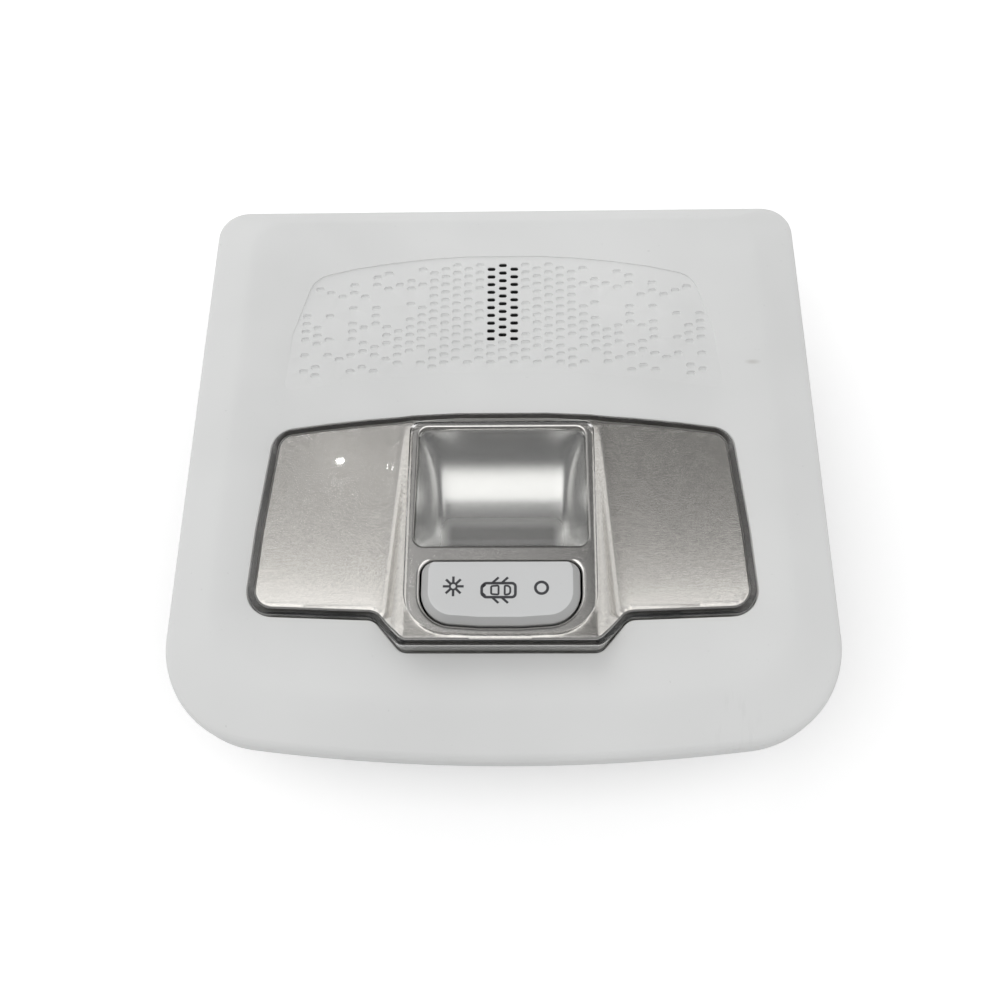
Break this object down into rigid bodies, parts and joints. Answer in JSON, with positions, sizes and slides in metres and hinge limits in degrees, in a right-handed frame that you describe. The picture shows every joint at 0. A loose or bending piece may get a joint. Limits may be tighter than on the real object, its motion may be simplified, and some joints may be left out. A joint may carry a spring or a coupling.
{
  "type": "car dome light",
  "caption": "Overhead car dome light: pale moulded bezel with a microphone grille, clear lens over satin silver trim, lit trough, three way rocker switch and the lamp body behind.",
  "frame": {"origin": "middle of the bounding box's lower face, on the flat back that the light lies on", "axes": "+Z out of the lit face, the shortest extent; +Y from the switch's near edge to the grille's far edge; +X to the right"},
  "size_m": [0.168, 0.1534, 0.0431],
  "materials": {
    "bezel_plastic": "satin moulded, pale warm grey",
    "clear_lens": "clear polished",
    "silver_finish": "satin fine grain metallised",
    "mirror_finish": "satin metallised",
    "rocker_plastic": "satin moulded white",
    "body_plastic": "matt moulded",
    "frame_plastic": "matt moulded",
    "slider_plastic": "matt moulded",
    "board": "lacquered laminate",
    "led_package": "matt",
    "component_black": "matt",
    "connector_plastic": "matt moulded",
    "contact_brass": "plain",
    "spring_steel": "plain rolled",
    "screw_steel": "zinc plated",
    "mic_rubber": "matt",
    "mic_cloth": "acoustic cloth",
    "capsule_can": "drawn can"
  },
  "bodies": {
    "lamp": {"bezel": "bezel_plastic", "lens_cover": "clear_lens", "silver_trim": "silver_finish", "window_lens": "clear_lens", "reflector": "mirror_finish", "led_board": "board", "led_left": "led_package", "led_right": "led_package", "lamp_housing": "body_plastic", "rear_cover": "body_plastic", "circuit_board": "board", "connector_header": "connector_plastic", "connector_pins": "contact_brass", "resistor_left": "component_black", "resistor_right": "component_black", "driver_chip": "component_black", "switch_frame": "frame_plastic", "detent_spring": "spring_steel", "contact_strip_left": "contact_brass", "contact_strip_mid": "contact_brass", "contact_strip_right": "contact_brass", "mic_mesh": "mic_cloth", "mic_boot": "mic_rubber", "mic_capsule": "capsule_can", "mic_bracket": "body_plastic", "clip_far_left": "spring_steel", "clip_far_right": "spring_steel", "clip_near_left": "spring_steel", "clip_near_right": "spring_steel", "housing_screws": "screw_steel", "cover_screws": "screw_steel", "board_screws": "screw_steel", "mic_screws": "screw_steel"},
    "rocker_button": {"rocker": "rocker_plastic"},
    "slider": {"contact_slider": "slider_plastic", "bridge_contact": "contact_brass"}
  },
  "joints": [
    {"name": "rocker_tilt", "type": "hinge", "parent": "lamp", "child": "rocker_button", "pos_m": [0, -0.03735, 0.035], "axis": [0, 1, 0], "range_deg": [-5.5, 5.5]},
    {"name": "slider_travel", "type": "slide", "parent": "lamp", "child": "slider", "axis": [1, 0, 0], "range_m": [-0.00097, 0.00097]}
  ],
  "couplings": [
    {"joint": "slider_travel", "follows": "rocker_tilt", "m_per_rad": -0.01}
  ]
}
